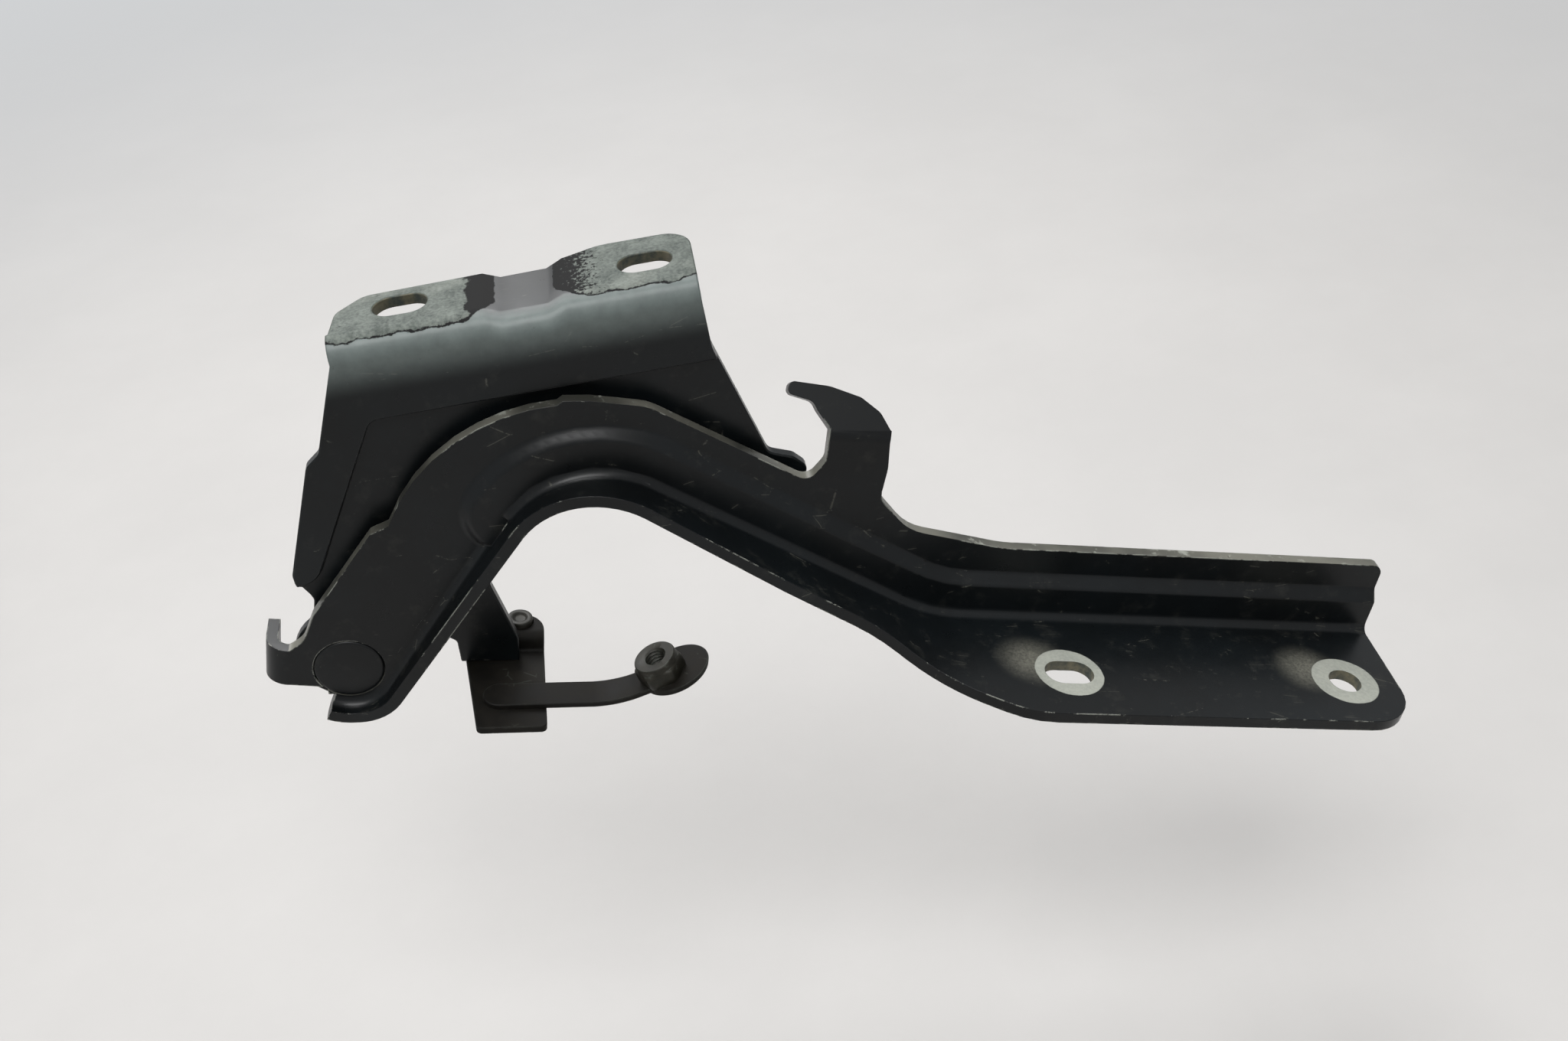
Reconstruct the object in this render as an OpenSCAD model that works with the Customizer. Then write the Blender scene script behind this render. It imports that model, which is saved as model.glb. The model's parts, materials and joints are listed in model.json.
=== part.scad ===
// Bonnet hinge: a gooseneck arm of pressed sheet that turns on one rivet in a folded body bracket.
// Origin: midway between the two body slots, on the face that the car body sits on.
// X runs along the slots towards the bonnet end, Y along the hinge axis, Z out of that face.

/* [Body bracket] */
// Sheet thickness of the bracket
bracket_t = 3; // [2:0.1:4]
// Distance between the centres of the two body slots
body_slot_spacing = 58; // [50:1:64]
// Overall length of a body slot
body_slot_len = 13; // [11:0.5:16]
// Width of a body slot, for an M8 screw
body_slot_w = 9; // [8.4:0.1:10]
// Flange metal left of the first slot's centre
flange_margin_left = 17; // [15:0.5:22]
// Flange metal right of the second slot's centre
flange_margin_right = 11.5; // [10:0.5:18]
// Slot line behind the front face of the web
slot_setback = 14; // [12:0.5:20]
// Flange metal behind the slot line
flange_margin_back = 9; // [8:0.5:16]
// Extra depth of the flange at its right-hand pad
pad_extra = 3.5; // [0:0.5:6]
// Outer radius of the fold between flange and web
flange_fold_r = 5.5; // [4.5:0.5:9]
// Depth of the hollow between the two slot pads
pad_height = 1.8; // [1:0.1:2.5]
// Width of the hollow between the two slot pads
pad_gap = 19; // [12:1:28]
// Length of the slope at each side of that hollow
pad_slope = 4; // [2:0.5:6]
// Set-back of the web's lower field from its front face
web_step = 1.7; // [1:0.1:2.5]
// Reach of the catch tongue from the hinge axis
tongue_reach = 124; // [118:1:125]
// Width of the catch tongue
tongue_w = 8; // [5:0.5:11]
// Radius of the bracket's eye around the pivot
eye_r = 14; // [12:0.5:15]

/* [Pivot] */
// Hinge axis left of the middle of the body slots
pivot_left = 64; // [58:1:70]
// Hinge axis below the body face
pivot_drop = 90; // [84:1:96]
// Diameter of the rivet's shank
rivet_d = 10; // [8:0.5:12]
// Diameter of the rivet's flat head
rivet_head_d = 17.6; // [15:0.2:19]
// Thickness of the rivet's flat head
rivet_head_t = 1.5; // [1.2:0.1:2.5]
// Depth of the head's seat in the arm
rivet_seat = 1; // [0.6:0.1:1.4]
// Diameter of the rivet's closed tail
rivet_tail_d = 15; // [13:0.5:18]
// Height of the rivet's closed tail
rivet_tail_t = 2.6; // [2:0.2:4]
// Wall of the pivot bush
bush_wall = 2; // [1:0.25:2.5]
// Radial running clearance between rivet and bush
bush_clearance = 0.05; // [0.02:0.01:0.08]
// Thickness of the washer between arm and bracket
thrust_washer_t = 2.4; // [1.8:0.1:3.5]
// Diameter of the washer between arm and bracket
thrust_washer_d = 21; // [18:0.5:24]
// Thickness of the washer under the rivet's tail
tail_washer_t = 1.2; // [0.8:0.1:2]
// Diameter of the washer under the rivet's tail
tail_washer_d = 19; // [17:0.5:24]
// Free play between each washer and the bracket
side_play = 0.3; // [0.3:0.05:0.5]

/* [Hinge arm] */
// Sheet thickness of the arm
arm_t = 3; // [2.4:0.1:3.4]
// Arm angle at rest, bonnet end down from the body face
arm_rest = 16; // [10:1:20]
// Bonnet end of the arm from the hinge axis
arm_len = 272; // [262:1:300]
// Bonnet face above the hinge axis, with the arm level
bonnet_rise = 26.9; // [24:0.5:30]
// Height of the arm's web above the bonnet face
web_h = 20; // [18:0.5:24]
// Height of the web at the top of the arch
arch_h = 18.5; // [17:0.5:22]
// Height of the web where the arch meets the pivot leg
heel_h = 29.4; // [27:0.5:32]
// Set of the crown's centre behind the arch's centre, towards the bonnet
crown_shift = 2.2; // [0:0.2:4]
// Where the arm's straight end meets its leg
knee_x = 146.5; // [142:1:156]
// Slope of the leg
leg_slope = 25; // [22:0.5:28]
// Slope of the pivot leg
pivot_leg_slope = 64.5; // [62:0.5:68]
// Radius of the bend line at the knee
knee_r = 43; // [36:1:50]
// Inner radius of the arch
arch_r = 24.5; // [20:0.5:28]
// Inner radius of the rim around the pivot
rim_r = 11.8; // [11.7:0.1:14]
// Front reach of the bonnet flange from the arm's face
bonnet_flange_w = 41; // [36:1:48]
// Front reach of the flange along the leg
leg_flange_w = 17.5; // [12:0.5:22]
// Front reach of the rim under the arch
arch_rim_w = 12; // [8:0.5:15]
// Front reach of the rim around the pivot
pivot_rim_w = 4; // [3.2:0.2:6]
// Front corner radius of the bonnet flange
bonnet_corner_r = 13; // [6:1:18]
// Inner radius of the fold at the bonnet flange
fold_r = 2.5; // [1.5:0.25:4]
// Forward set of the arm's lower band
band_step = 2.5; // [1.5:0.25:3.5]
// Height of the lower band, up to where its slope begins
band_h = 9; // [7:0.5:11]
// Height of the slope between the lower and upper bands
band_slope = 4; // [3:0.5:5]

/* [Bonnet holes] */
// Round bonnet hole from the arm's end
bonnet_hole_in = 15; // [14:0.5:24]
// Diameter of the round bonnet hole
bonnet_hole_d = 8.7; // [7:0.1:10]
// Distance between the bonnet hole and slot
bonnet_spacing = 77; // [60:1:85]
// Overall length of the bonnet slot
bonnet_slot_len = 13; // [10:0.5:18]
// Width of the bonnet slot
bonnet_slot_w = 8.7; // [7:0.1:10]
// Bonnet hole line in front of the arm's face
bonnet_hole_y = 25; // [22:0.5:28]

/* [Hook and stop] */
// Outer side of the hook from the hinge axis
hook_x = 127.7; // [126:0.1:134]
// Start of the hook's bend above the hinge axis
hook_z = 76.5; // [74:0.5:80]
// Width of the hook's neck
hook_neck = 15.5; // [13:0.5:15.5]
// Lean of the hook behind the arm's plane
hook_lean = 35; // [20:1:40]
// Height of the leaning blade
hook_h = 10.7; // [9:0.5:13]
// Depth of the hook's lip
lip_h = 3.1; // [2.5:0.1:4]
// Length of the hook's lip beyond its neck
lip_len = 10.5; // [8:0.5:11.5]
// Inner bend radius of the hook and the stop tab
bend_r = 3; // [2:0.5:4]
// Height of the stop tab
tab_h = 11; // [8:0.5:12]
// Reach of the stop tab behind the arm's face
tab_reach = 13; // [11:0.5:18]
// Outside of the stop tab from the hinge axis
tab_x = 21; // [20:0.25:22]

/* [Support] */
// Sheet thickness of the support plate
support_t = 2; // [1.5:0.1:3]
// Tilt of the support plate
support_tilt = 12; // [8:1:16]
// Support plate's top below the hinge axis, along its tilt
support_drop = 3.3; // [2:0.1:6]
// Left edge of the support plate from the hinge axis
support_x = 30; // [26:0.5:33]
// Width of the support plate
support_w = 19.5; // [17:0.5:24]
// Reach of the support plate in front of the web
support_front = 26; // [20:0.5:32]
// Rise of the support plate's rear tab
support_rise = 5.3; // [4:0.1:9]
// Depth of the rear tab
support_tab = 9; // [8:0.5:12]
// Strip's middle in front of the web
strip_front = 15; // [11:0.5:18]
// Diameter of the stud
stud_d = 6; // [5:0.5:8]
// Stud end above the rear tab
stud_up = 1.6; // [1:0.2:6]
// Stud head under the rear tab
stud_head_t = 1.6; // [1:0.1:2.5]

/* [Nut strip] */
// Thickness of the strip
strip_t = 1.5; // [1:0.1:2]
// Width of the strip
strip_w = 8.5; // [8:0.5:12]
// Flat length of the strip
strip_flat = 27; // [22:0.5:29]
// Radius of the strip's curve
strip_r = 30; // [26:1:40]
// Upturn of the strip's end
strip_upturn = 26; // [15:1:30]
// Diameter of the strip's pad
pad_d = 16; // [14:0.5:20]
// Nut's axis short of the middle of the pad
nut_back = 3; // [0:0.5:4]
// Diameter of the weld nut's collar
nut_d = 11.2; // [9:0.1:12]
// Width across the weld nut's flats
nut_af = 11.5; // [9.5:0.25:13]
// Height of the weld nut's hexagon
nut_hex_h = 3; // [2:0.25:4]
// Overall height of the weld nut
nut_h = 6; // [5:0.25:8]
// Core diameter of the weld nut's thread
nut_bore = 5; // [4.2:0.1:6.8]

/* [Hidden] */
$fn = 64;
paint = [0.10, 0.11, 0.11];
primer = [0.24, 0.24, 0.22];
steel = [0.62, 0.63, 0.62];

// Stations along the hinge axis, from the viewer's side to the back.
web_front = -slot_setback;
field_front = web_front + web_step;
field_back = field_front + bracket_t;
arm_back = field_front - side_play - thrust_washer_t;
arm_front = arm_back - arm_t;
tail_seat = field_back + side_play + tail_washer_t;
pivot = [-pivot_left, -pivot_drop];

// A point of the plane across the hinge axis, turned by an angle about that axis.
function turned(p, a) = [p[0] * cos(a) + p[1] * sin(a), -p[0] * sin(a) + p[1] * cos(a)];
function at_pivot(x, z) = pivot + [x, z];
function on_support(x, z) = pivot + turned([x, z], support_tilt);
function unit(v) = v / norm(v);
function heading(a) = [cos(a), sin(a)];
function right_of(a) = [sin(a), -cos(a)];
// Points along an arc of a circle.
function arc(c, r, a0, a1, n = 12) = [for (i = [0:n]) c + r * heading(a0 + (a1 - a0) * i / n)];
// Rounds one corner of an outline. The radius gives way where a side is too short for it.
function corner(a, b, c, r) =
    let (u = unit(a - b), v = unit(c - b), half = acos(max(-1, min(1, u * v))) / 2)
    r <= 0 || half > 89.5 ? [b] :
    let (run = min(r / tan(half), 0.49 * norm(a - b), 0.49 * norm(c - b)),
         rr = run * tan(half), m = b + unit(u + v) * rr / sin(half),
         s = b + u * run - m, e = b + v * run - m,
         a0 = atan2(s[1], s[0]), turn = atan2(s[0] * e[1] - s[1] * e[0], s * e))
    arc(m, rr, a0, a0 + turn, max(3, ceil(abs(turn) / 12)));
// Rounds an outline whose entries are x, z and corner radius.
function rounded(p) = let (n = len(p), q = [for (e = p) [e[0], e[1]]])
    [for (i = [0:n - 1]) each corner(q[(i + n - 1) % n], q[i], q[(i + 1) % n], p[i][2])];

// A flat sheet of an outline in the plane across the hinge axis, from y0 backwards.
module sheet(y0, t) { translate([0, y0 + t, 0]) rotate([90, 0, 0]) linear_extrude(t) children(); }
// A round bar along the hinge axis.
module bar(p, y0, y1, d) { translate([p[0], y1, p[1]]) rotate([90, 0, 0]) cylinder(h = y1 - y0, d = d); }
// A slot cutter along X through a plate that lies across Z.
module slot(p, len, w, z0, z1) {
    for (s = [-1, 1]) translate([p[0] + s * (len - w) / 2, p[1], z0]) cylinder(h = z1 - z0, d = w);
    translate([p[0] - (len - w) / 2, p[1] - w / 2, z0]) cube([len - w, w, z1 - z0]);
}
// One section swept straight: its x points to the right of the path, its y along the hinge axis.
module straight(p, a, len, s) { translate([p[0], 0, p[1]]) rotate([0, 90 - a, 0]) linear_extrude(len) polygon(s); }
// The same section swept round a centre in the plane across the hinge axis.
module swept(c, a0, a1, s) {
    translate([c[0], 0, c[1]]) rotate([90, 0, 0]) rotate([0, 0, min(a0, a1)])
        rotate_extrude(angle = abs(a1 - a0), $fn = 96) polygon([for (q = s) [q[0], -q[1]]]);
}

// Body bracket: edges of the flange and of the hollow between its pads.
flange_x0 = -body_slot_spacing / 2 - flange_margin_left;
flange_x1 = body_slot_spacing / 2 + flange_margin_right;
hollow = pad_gap / 2;
dip = [[-hollow, 0], [-hollow + pad_slope, -pad_height], [hollow - pad_slope, -pad_height], [hollow, 0]];
function lowered(p, z) = [for (q = p) q + [0, z]];
function flipped(p) = [for (i = [len(p) - 1:-1:0]) p[i]];
function square_cut(p) = [for (q = p) [q[0], q[1], 0]];

// The web: its top follows the fold, its right side runs out to the tongue, and its left side has the
// shoulder that stops the opening arm. Below, it ends in the eye and in a foot on the support plate.
module web_outline() {
    tip = at_pivot(tongue_reach, 32);
    heel = turned([0, tongue_w], 20);
    polygon(rounded(concat(
        square_cut(lowered(concat([[flange_x0, 0]], dip, [[flange_x1, 0]]), -flange_fold_r)),
        [[flange_x1 + 0.5, pivot[1] + 71.5, 12], [pivot[0] + 114.5, pivot[1] + 38.6, 3],
         [tip[0] - 3.5, tip[1] + 4, 3], [tip[0], tip[1], 3], [tip[0] - heel[0], tip[1] + 4 - heel[1], 3],
         [pivot[0] + 92, pivot[1] + 38, 14], [pivot[0] + 72, pivot[1] + 44, 20],
         [pivot[0] + 54, pivot[1] + 42, 14], [pivot[0] + 44, pivot[1] + 29, 10]],
        [for (q = [[35.5, 22, 6], [42.8, 4, 3], [43, -support_drop, 0], [28, -support_drop, 0], [27, 3.5, 2]])
            concat(on_support(q[0], q[1]), q[2])],
        [[pivot[0] + 23, pivot[1] + 2, 6]],
        square_cut(arc(pivot, eye_r, -50, -248, 22)),
        [for (q = [[-4.9, 16.4, 0.5], [-4.1, 19.2, 1.5], [-4.6, 21, 1], [-6.8, 25.6, 2], [-6.8, 28.5, 4],
                   [5.2, 58.8, 3], [9, 61.8, 3]]) concat(at_pivot(q[0], q[1]), q[2])])));
}

// The web's lower field, set back so that the arm passes in front of it.
module web_field(grow) {
    polygon(rounded([for (q = [[23 - grow, 68.5 + grow, 4], [150, 68.5 + grow, 0], [150, -40, 0], [-40, -40, 0],
        [-40, 18, 0], [-1 - grow, 26 + grow, 6]]) concat(at_pivot(q[0], q[1]), q[2])]));
}

// A quarter of the fold at the flange, of one radius, from x along the fold.
module fold_quarter(x, len, z, r) {
    translate([x, web_front + flange_fold_r, z - flange_fold_r]) rotate([0, 90, 0]) rotate([0, 0, 180])
        linear_extrude(len) polygon(concat([[0, 0]], arc([0, 0], r, 0, 90, 12)));
}

module fold(x0, x1, z) {
    difference() {
        fold_quarter(x0, x1 - x0, z, flange_fold_r);
        fold_quarter(x0 - 1, x1 - x0 + 2, z, flange_fold_r - bracket_t);
    }
}

// The fold where it runs down into the hollow.
module fold_ramp(a, b) {
    slice = 0.01;
    difference() {
        hull() {
            fold_quarter(a[0], slice, a[1], flange_fold_r);
            fold_quarter(b[0] - slice, slice, b[1], flange_fold_r);
        }
        hull() {
            fold_quarter(a[0] - slice, 2 * slice, a[1], flange_fold_r - bracket_t);
            fold_quarter(b[0] - slice, 2 * slice, b[1], flange_fold_r - bracket_t);
        }
    }
}

module flange_plan() {
    back = flange_margin_back;
    polygon(rounded([[flange_x0, web_front, 0], [flange_x1, web_front, 0], [flange_x1, back + pad_extra, 7],
        [hollow + 9, back + pad_extra, 12], [hollow, back, 8], [flange_x0 + 8, back - 1.5, 5],
        [flange_x0 + 1.5, back - 8, 5]]));
}

module body_flange() {
    top = concat([[flange_x0, 0]], dip, [[flange_x1, 0]]);
    depth = flange_margin_back + pad_extra - web_front - flange_fold_r;
    intersection() {
        sheet(web_front + flange_fold_r, depth) polygon(concat(top, flipped(lowered(top, -bracket_t))));
        translate([0, 0, -20]) linear_extrude(40) flange_plan();
    }
    fold(flange_x0, dip[0][0], 0);
    fold_ramp(dip[0], dip[1]);
    fold(dip[1][0], dip[2][0], -pad_height);
    fold_ramp(dip[2], dip[3]);
    fold(dip[3][0], flange_x1, 0);
}

module body_bracket() {
    color(paint) difference() {
        union() {
            body_flange();
            sheet(web_front, bracket_t) difference() { web_outline(); web_field(0); }
            sheet(field_front, bracket_t) intersection() { web_outline(); web_field(bracket_t); }
        }
        for (s = [-1, 1]) slot([s * body_slot_spacing / 2, 0], body_slot_len, body_slot_w, -bracket_t - 1, 1);
        bar(pivot, field_front - 1, field_back + 1, rivet_d + 2 * (bush_clearance + bush_wall));
    }
}

// Pivot: a bush pressed into the bracket's eye, and the rivet that turns in it with the arm.
module pivot_bush() {
    color(steel) difference() {
        bar(pivot, field_front, field_back, rivet_d + 2 * (bush_clearance + bush_wall));
        bar(pivot, field_front - 1, field_back + 1, rivet_d + 2 * bush_clearance);
    }
}

module pivot_rivet() {
    seat = arm_front + rivet_seat;
    color(paint) union() {
        bar(pivot, seat - rivet_head_t, seat, rivet_head_d);
        bar(pivot, seat - 0.5, tail_seat + 0.5, rivet_d);
        translate([pivot[0], tail_seat, pivot[1]]) rotate([-90, 0, 0])
            cylinder(h = rivet_tail_t, d1 = rivet_tail_d, d2 = rivet_tail_d - rivet_tail_t);
    }
}

module washer(y0, t, d) {
    difference() { bar(pivot, y0, y0 + t, d); bar(pivot, y0 - 1, y0 + t + 1, rivet_d); }
}

module thrust_washer() { color(steel) washer(arm_back, thrust_washer_t, thrust_washer_d); }
module tail_washer() { color(steel) washer(field_back + side_play, tail_washer_t, tail_washer_d); }

// Hinge arm, drawn level with the hinge axis at the origin and its face at y = 0.
// Its lower edge follows one line: straight bonnet end, knee, leg, arch, pivot leg and pivot rim.
leg_a = 180 - leg_slope;
heel_a = 180 + pivot_leg_slope;
notch_a = 250;
knee = [knee_x, bonnet_rise];
knee_cut = knee_r * tan(leg_slope / 2);
knee_start = knee + [knee_cut, 0];
knee_end = knee + knee_cut * heading(leg_a);
knee_c = knee_start + [0, knee_r];
rim_start = -rim_r * right_of(heel_a);
peak = knee + heading(leg_a) * cross(rim_start - knee, heading(heel_a)) / cross(heading(leg_a), heading(heel_a));
arch_cut = arch_r * tan((heel_a - leg_a) / 2);
arch_start = peak - arch_cut * heading(leg_a);
arch_end = peak + arch_cut * heading(heel_a);
arch_c = arch_start - arch_r * right_of(leg_a);
band_top = band_h + band_slope;
seam = 0.5;
function on_leg(q, u) = knee_end + q * heading(leg_a) + u * right_of(leg_a);
function on_crown(a, r) = arch_c + crown_shift * heading(leg_a + 180) + r * heading(a);
function shifted(s, r, k) = [for (q = s) [r + k * q[0], q[1]]];
// The slope between the two bands, seen along the path, and the fold from the band to the flange.
function slope_line(y) = [for (k = [0:6]) [band_h + band_slope * k / 6, y - band_step * (1 + cos(30 * k)) / 2]];
function fold_line(y, r, r1) = arc([r, -y - r], r1, 180, 90, 6);
reach = bonnet_flange_w + 1;
// Sections of the folded edge. Each is grown by g, and laps the flat by l, so that neighbours overlap cleanly.
function band_plate(g, l) = concat(slope_line(-g), [[band_top + l, -g], [band_top + l, arm_t + g]],
    flipped(slope_line(arm_t + g)));
function band_section(g, l) = concat([[g, -reach]], fold_line(band_step, fold_r, fold_r - g), band_plate(g, l),
    flipped(fold_line(band_step, fold_r, fold_r + arm_t + g)), [[-arm_t - g, -reach]]);
function rim_section(g, l) = concat([[g, -reach]], fold_line(0, fold_r, fold_r - g),
    [[fold_r + l, -g], [fold_r + l, arm_t + g]],
    flipped(fold_line(0, fold_r, fold_r + arm_t + g)), [[-arm_t - g, -reach]]);
bend_band = band_section(0.01, 0.9);
run_band = band_section(0.03, 1.2);
end_band = concat([[0, -band_step - 0.02]], band_plate(0.02, 1.5), [[0, arm_t - band_step + 0.02]]);
bend_rim = rim_section(0.01, 0.9);
run_rim = rim_section(0.03, 1.2);
run_lap = 0.4;

// A straight stretch of the folded edge from p to q, let into its neighbours by the lap.
module run(p, q, s) {
    d = unit(q - p);
    straight(p - run_lap * d, atan2(d[1], d[0]), norm(q - p) + 2 * run_lap, s);
}

// The folded lower edge, before its front is trimmed.
module folded_edge() {
    run([arm_len + 1, bonnet_rise], knee_start, run_band);
    swept(knee_c, 270, 270 - leg_slope, shifted(bend_band, knee_r, -1));
    run(knee_end, arch_start, run_band);
    swept(arch_c, leg_a - 90, heel_a - 89, shifted(bend_band, arch_r, 1));
    swept(arch_end, heel_a - 92, heel_a, end_band);
    run(arch_end, rim_start, run_rim);
    swept([0, 0], heel_a + 90, notch_a, shifted(bend_rim, rim_r, -1));
}

// Front edge of the flange seen from above: narrow at the pivot, wide at the bonnet.
module front_plan() {
    polygon(rounded([[-60, 60, 0], [-60, -pivot_rim_w, 0], [2, -pivot_rim_w, 20], [arch_c[0], -arch_rim_w, 60],
        [knee_x - 42, -leg_flange_w, 40], [knee_x - 17, -leg_flange_w - 1.5, 25],
        [knee_x + 20, -bonnet_flange_w, 25], [arm_len, -bonnet_flange_w, bonnet_corner_r], [arm_len, 60, 0]]));
}

// The flat of the arm: pivot leg, arch and upper band, with the hook's root on its upper edge.
module arm_flat() {
    throat = hook_x - hook_neck;
    tab_top = tab_h - 6;
    edge = bonnet_rise + web_h;
    polygon(concat(
        rounded(concat([[arm_len, bonnet_rise + band_top + seam, 0], [arm_len, edge, 3],
            [knee_start[0] + 8, edge, 30]], [concat(on_leg(9, web_h - 1.8), 14)],
            [[hook_x + 0.6, hook_z - 16, 5], [hook_x + 0.9, hook_z - 7, 10], [hook_x, hook_z + hook_lap, 0],
             [throat, hook_z + hook_lap, 0], [throat + 0.4, hook_z - 6, 4], [throat - 3, hook_z - 12, 4]],
            [concat(on_leg(46, web_h - 1.8), 3), concat(on_leg(86, web_h - 2.4), 12)],
            [for (a = [92, 100, 108]) concat(on_crown(a, arch_r + arch_h + (heel_h - arch_h) * (a - 87) / 87 + 0.4), 0)],
            [for (a = [110:8:174]) concat(on_crown(a, arch_r + arch_h + (heel_h - arch_h) * (a - 87) / 87 - 0.6), 0)],
            [[4.2, 42.4, 1], [-9.2, 16.5, 6], [-11.4, 8, 6], [-tab_x + arm_t + bend_r, tab_top, 0],
             [-tab_x + arm_t + bend_r, -6, 0], [-5.4, -6.4, 1.2], [-5, -8.8, 0]])),
        arc([0, 0], rim_r - fold_r - seam, notch_a + 4, heel_a + 87, 20),
        arc(arch_end, band_top + seam, heel_a - asin((fold_r + seam) / (band_top + seam)), heel_a - 90, 14),
        arc(arch_c, arch_r + band_top + seam, heel_a - 90, leg_a - 90, 24),
        arc(knee_c, knee_r - band_top - seam, 270 - leg_slope, 270, 10)));
}

// The hook's blade leans back from its neck, with a lip that points to the pivot.
// Neck and blade are let into the bend, which is a hair thicker and narrower than they are.
hook_lap = 0.3;
module hook() {
    throat = hook_x - hook_neck;
    grow = 0.02;
    translate([throat + grow, arm_t + bend_r, hook_z]) rotate([0, 90, 0]) rotate([0, 0, 270 - hook_lean])
        rotate_extrude(angle = hook_lean) translate([bend_r - grow, 0]) square([arm_t + 2 * grow, hook_neck - 2 * grow]);
    translate([0, arm_t + bend_r, hook_z]) rotate([-hook_lean, 0, 0]) translate([0, -arm_t - bend_r, 0])
        sheet(0, arm_t) polygon(rounded([[throat, -hook_lap, 0], [hook_x, -hook_lap, 0],
            [hook_x - 3, 0.4 * hook_h, 4], [hook_x - 8, 0.72 * hook_h, 4], [hook_x - 16, 0.93 * hook_h, 10],
            [throat - lip_len, hook_h, 1.5], [throat - lip_len - 0.5, hook_h - lip_h, 1.4],
            [throat - 4.5, 0.56 * hook_h, 2.5], [throat - 3.2, 0.35 * hook_h, 2]]));
}

// The stop tab is turned back at the pivot end, towards the bracket's shoulder.
module stop_tab() {
    translate([-tab_x + arm_t + bend_r, arm_t + bend_r, -6]) rotate([0, 0, 180])
        rotate_extrude(angle = 90) translate([bend_r, 0]) square([arm_t, tab_h]);
    translate([-tab_x, arm_t + bend_r, -6]) cube([arm_t, tab_reach - arm_t - bend_r, tab_h]);
}

module hinge_arm() {
    hole_x = arm_len - bonnet_hole_in;
    color(paint) translate([pivot[0], arm_front, pivot[1]]) rotate([0, arm_rest, 0]) difference() {
        union() {
            intersection() { folded_edge(); translate([0, 0, -80]) linear_extrude(240) front_plan(); }
            sheet(0, arm_t) arm_flat();
            hook();
            stop_tab();
        }
        translate([hole_x, -bonnet_hole_y, bonnet_rise - arm_t - 1]) cylinder(h = arm_t + 2, d = bonnet_hole_d);
        slot([hole_x - bonnet_spacing, -bonnet_hole_y], bonnet_slot_len, bonnet_slot_w,
            bonnet_rise - arm_t - 1, bonnet_rise + 1);
        bar([0, 0], -1, rivet_seat, rivet_head_d + 0.4);
        bar([0, 0], 0, arm_t + 1, rivet_d);
    }
}

// Support under the web's foot, drawn level with the hinge axis at the origin and its top at z = 0.
module on_support_plate() {
    translate([pivot[0], 0, pivot[1]]) rotate([0, support_tilt, 0]) translate([0, 0, -support_drop]) children();
}
riser_y = field_back + 1;
stud_at = [support_x + 13.6, riser_y + 5.8];
support_tab_x = support_x + 7;

module support_plate() {
    front = field_front - support_front;
    back = riser_y + support_tab;
    side = support_x + support_w;
    color(primer) on_support_plate() difference() {
        intersection() {
            translate([support_x - 2, 0, 0]) rotate([90, 0, 90]) linear_extrude(support_w + 4)
                polygon(rounded([[front, -support_t, 0], [riser_y + support_t, -support_t, support_t + 1],
                    [riser_y + support_t, support_rise - support_t, 1], [back, support_rise - support_t, 0],
                    [back, support_rise, 0], [riser_y, support_rise, support_t + 1], [riser_y, 0, 1], [front, 0, 0]]));
            translate([0, 0, -20]) linear_extrude(60) polygon(rounded([[support_x + 2, front, 1.5], [side, front, 1.5],
                [side, back, 7], [support_tab_x, back, 4], [support_tab_x, field_back + 0.5, 1],
                [support_x - 1, field_back + 0.5, 1]]));
        }
        translate([stud_at[0], stud_at[1], -support_t]) cylinder(h = support_rise + 10, d = stud_d);
    }
}

module support_stud() {
    color(steel) on_support_plate() translate([stud_at[0], stud_at[1], support_rise]) difference() {
        union() {
            translate([0, 0, -support_t - stud_head_t]) cylinder(h = stud_head_t, d = stud_d + 3);
            translate([0, 0, -support_t - 0.5]) cylinder(h = support_t + stud_up + 0.5, d = stud_d);
        }
        translate([0, 0, stud_up - 0.8]) cylinder(h = 1.6, d1 = 1.2, d2 = 4.4);
    }
}

// Nut strip: lies on the support plate, curves up to a round pad and carries the weld nut.
strip_x = support_x + 3.5;
strip_y = field_front - strip_front;
strip_c = [strip_x + strip_flat, strip_r];
pad_at = strip_c + strip_r * heading(strip_upturn - 90);
pad_reach = nut_back + nut_af / 2 / cos(30) + 0.3;

module nut_strip() {
    dir = heading(strip_upturn);
    up = heading(strip_upturn + 90);
    pad_end = pad_at + dir * (pad_reach + pad_d);
    pad_mid = pad_at[0] + pad_reach * dir[0];
    color(primer) on_support_plate() difference() {
        intersection() {
            sheet(strip_y - pad_d, 2 * pad_d) polygon(concat([[strip_x - 1, 0]],
                arc(strip_c, strip_r, -90, strip_upturn - 90, 12), [pad_end, pad_end + strip_t * up],
                arc(strip_c, strip_r - strip_t, strip_upturn - 90, -90, 12), [[strip_x - 1, strip_t]]));
            translate([0, 0, -20]) linear_extrude(80) union() {
                translate([strip_x + strip_w / 2, strip_y]) circle(d = strip_w);
                translate([strip_x + strip_w / 2, strip_y - strip_w / 2]) square([pad_mid - strip_x, strip_w]);
                translate([pad_mid, strip_y]) circle(d = pad_d);
            }
        }
        nut_frame() translate([0, 0, -strip_t - 1]) cylinder(h = strip_t + 2, d = nut_bore + 1.2);
    }
}

// The nut's seat: the upper face of the pad, with z out of it.
module nut_frame() {
    seat = pad_at + (pad_reach - nut_back) * heading(strip_upturn) + strip_t * heading(strip_upturn + 90);
    translate([seat[0], strip_y, seat[1]]) rotate([0, -strip_upturn, 0]) children();
}

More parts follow.
